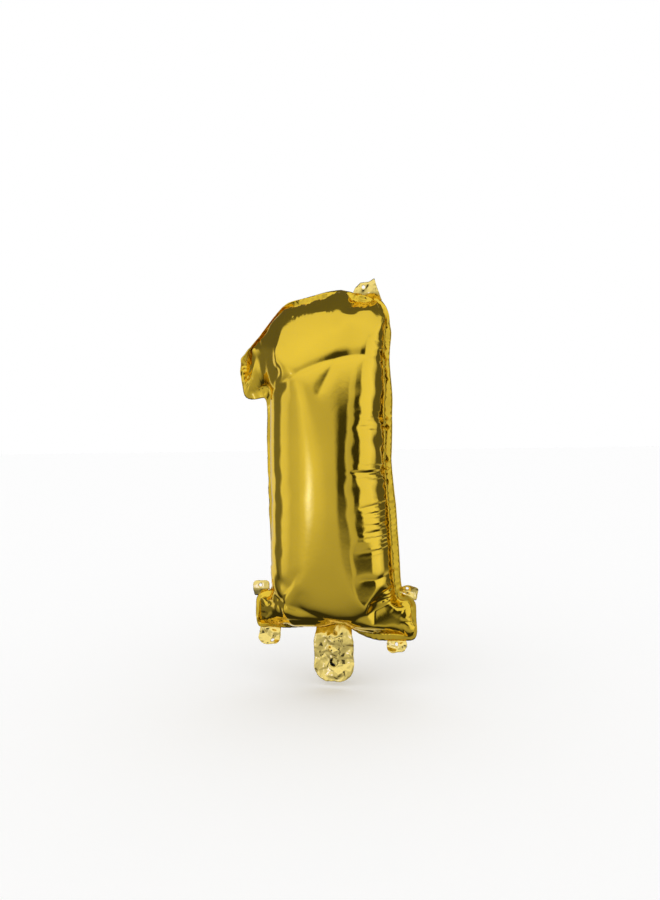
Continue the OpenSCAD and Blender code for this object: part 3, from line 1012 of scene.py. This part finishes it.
# How bright the studio is round the balloon, in degrees from straight in front towards +X
STUDIO_BANDS = [
    (-180, 0.55), (-150, 0.60), (-135, 0.92), (-121, 0.92), (-115, 0.20), (-93, 0.20), (-87, 0.92),
    (-74, 0.85), (-64, 0.64), (-48, 0.70), (-34, 0.95), (-19, 0.85), (-8, 0.66), (6, 0.60),
    (12, 0.05), (27, 0.05),
    (32, 0.65), (45, 0.55), (49, 0.04), (61, 0.04), (65, 0.98), (100, 1.05), (112, 0.75), (118, 0.12),
    (140, 0.12), (150, 0.92), (180, 0.60),
]
# The same for what is seen steeply up or down: from straight in front, up over the top and down behind
STUDIO_ARCH = [
    (-180, 0.60), (-150, 0.80), (-130, 0.62), (-118, 0.04), (-82, 0.04), (-72, 0.20), (-54, 0.40),
    (-16, 0.56),
    (6, 0.85), (40, 1.02), (74, 0.92), (78, 0.15), (140, 0.13), (150, 0.80), (180, 0.60),
]
# How much nearer to straight in front the arch seems for what is seen out to the side
ARCH_SPREAD = 0.30
# How steep a mirrored direction is where the arch starts to show, and where it alone is seen
STEEP = (0.14, 0.42)


def studio_ramp(nodes, stops):
    """A grey ramp over a whole turn, from -180 to 180 degrees."""
    ramp = nodes.new("ShaderNodeValToRGB")
    elements = ramp.color_ramp.elements
    while len(elements) < len(stops):
        elements.new(0.5)
    for element, (at, value) in zip(elements, stops):
        element.position = (at + 180) / 360
        element.color = (value, value, value, 1)
    return ramp


def make_world():
    """White all round, but with soft boxes and dark cards for whatever mirrors the room."""
    world = bpy.data.worlds.new("studio")
    scene.world = world
    world.use_nodes = True
    nodes, links = world.node_tree.nodes, world.node_tree.links
    nodes.clear()
    out = nodes.new("ShaderNodeOutputWorld")
    seen, mirrored = nodes.new("ShaderNodeBackground"), nodes.new("ShaderNodeBackground")
    mix, path = nodes.new("ShaderNodeMixShader"), nodes.new("ShaderNodeLightPath")
    where, split = nodes.new("ShaderNodeTexCoord"), nodes.new("ShaderNodeSeparateXYZ")
    links.new(where.outputs["Generated"], split.inputs[0])
    ahead = nodes.new("ShaderNodeMath")
    ahead.operation = "MULTIPLY"
    ahead.inputs[1].default_value = -1
    links.new(split.outputs["Y"], ahead.inputs[0])
    square, spread = nodes.new("ShaderNodeMath"), nodes.new("ShaderNodeMath")
    square.operation, spread.operation = "MULTIPLY", "MULTIPLY_ADD"
    links.new(split.outputs["X"], square.inputs[0])
    links.new(split.outputs["X"], square.inputs[1])
    links.new(square.outputs[0], spread.inputs[0])
    spread.inputs[1].default_value = ARCH_SPREAD
    links.new(ahead.outputs[0], spread.inputs[2])
    ramps = []
    for side, base, stops in (("X", ahead, STUDIO_BANDS), ("Z", spread, STUDIO_ARCH)):
        turn, share = nodes.new("ShaderNodeMath"), nodes.new("ShaderNodeMath")
        turn.operation, share.operation = "ARCTAN2", "MULTIPLY_ADD"
        links.new(split.outputs[side], turn.inputs[0])
        links.new(base.outputs[0], turn.inputs[1])
        share.inputs[1].default_value, share.inputs[2].default_value = 1 / (2 * math.pi), 0.5
        links.new(turn.outputs[0], share.inputs[0])
        ramps.append(studio_ramp(nodes, stops))
        links.new(share.outputs[0], ramps[-1].inputs["Fac"])
    size, steep = nodes.new("ShaderNodeMath"), nodes.new("ShaderNodeMapRange")
    size.operation = "ABSOLUTE"
    links.new(split.outputs["Z"], size.inputs[0])
    steep.interpolation_type = "SMOOTHSTEP"
    steep.inputs["From Min"].default_value, steep.inputs["From Max"].default_value = STEEP
    links.new(size.outputs[0], steep.inputs["Value"])
    blend = nodes.new("ShaderNodeMix")
    blend.data_type = "RGBA"
    links.new(steep.outputs["Result"], blend.inputs["Factor"])
    links.new(ramps[0].outputs["Color"], blend.inputs[6])
    links.new(ramps[1].outputs["Color"], blend.inputs[7])
    links.new(blend.outputs[2], mirrored.inputs["Color"])
    seen.inputs["Color"].default_value = (1, 1, 1, 1)
    links.new(path.outputs["Is Glossy Ray"], mix.inputs[0])
    links.new(seen.outputs[0], mix.inputs[1])
    links.new(mirrored.outputs[0], mix.inputs[2])
    links.new(mix.outputs[0], out.inputs[0])


# A soft box: degrees from straight in front towards +X and over the horizon, distance and half sizes in m
SOFT_BOX_TURN, SOFT_BOX_LIFT, SOFT_BOX_AWAY = -29.0, -8.0, 1.5
SOFT_BOX_SIZE, SOFT_BOX_GLOW = (0.24, 0.28), 6.5
# Blue, so that the gold's mirror image of it comes out cream and not yellow
SOFT_BOX_TINT = (0.11, 0.15, 1.0, 1)


def stage_panel(name, corners):
    mesh = bpy.data.meshes.new(name)
    mesh.from_pydata(corners, [], [(0, 1, 2, 3)])
    panel = bpy.data.objects.new(name, mesh)
    scene.collection.objects.link(panel)
    return panel


def make_soft_box():
    """A lamp that only mirrors see, brightest in its middle."""
    turn, lift = math.radians(SOFT_BOX_TURN), math.radians(SOFT_BOX_LIFT)
    middle = Vector(placed([0, 0, 120]))
    away = Vector((math.sin(turn) * math.cos(lift), -math.cos(turn) * math.cos(lift), math.sin(lift)))
    w, h = SOFT_BOX_SIZE
    box = stage_panel("soft_box", [(-w, -h, 0), (w, -h, 0), (w, h, 0), (-w, h, 0)])
    box.location = middle + away * SOFT_BOX_AWAY
    box.rotation_euler = (-away).to_track_quat("Z", "Y").to_euler()
    box.visible_camera = box.visible_diffuse = box.visible_shadow = False
    material = bpy.data.materials.new("soft_box")
    material.use_nodes = True
    nodes, links = material.node_tree.nodes, material.node_tree.links
    nodes.clear()
    where, scale = nodes.new("ShaderNodeTexCoord"), nodes.new("ShaderNodeMapping")
    scale.inputs["Scale"].default_value = (1 / w, 1 / h, 1)
    ball, out = nodes.new("ShaderNodeTexGradient"), nodes.new("ShaderNodeOutputMaterial")
    ball.gradient_type = "QUADRATIC_SPHERE"
    glow, clear = nodes.new("ShaderNodeEmission"), nodes.new("ShaderNodeBsdfTransparent")
    both, strength = nodes.new("ShaderNodeAddShader"), nodes.new("ShaderNodeMath")
    strength.operation = "MULTIPLY"
    strength.inputs[1].default_value = SOFT_BOX_GLOW
    links.new(where.outputs["Object"], scale.inputs["Vector"])
    links.new(scale.outputs["Vector"], ball.inputs["Vector"])
    links.new(ball.outputs["Fac"], strength.inputs[0])
    links.new(strength.outputs[0], glow.inputs["Strength"])
    glow.inputs["Color"].default_value = SOFT_BOX_TINT
    links.new(glow.outputs[0], both.inputs[0])
    links.new(clear.outputs[0], both.inputs[1])
    links.new(both.outputs[0], out.inputs["Surface"])
    box.data.materials.append(material)


# In m
FLOOR_GAP, FLOOR_HALF = 0.004, 4.0


def make_floor():
    """A pale matt floor just below the tail's tip, kept out of the mirror images."""
    h = FLOOR_HALF
    low = cad_bounds[0][2] - FLOOR_GAP
    floor = stage_panel("floor", [(-h, -h, low), (h, -h, low), (h, h, low), (-h, h, low)])
    floor.visible_glossy = False
    material, _, _, shader = principled("floor")
    shader.inputs["Roughness"].default_value = 0.9
    shader.inputs["Specular IOR Level"].default_value = 0.0
    shader.inputs["Base Color"].default_value = (0.98, 0.98, 0.98, 1)
    floor.data.materials.append(material)


make_world()
make_floor()
make_soft_box()
scene.view_settings.view_transform = "Standard"
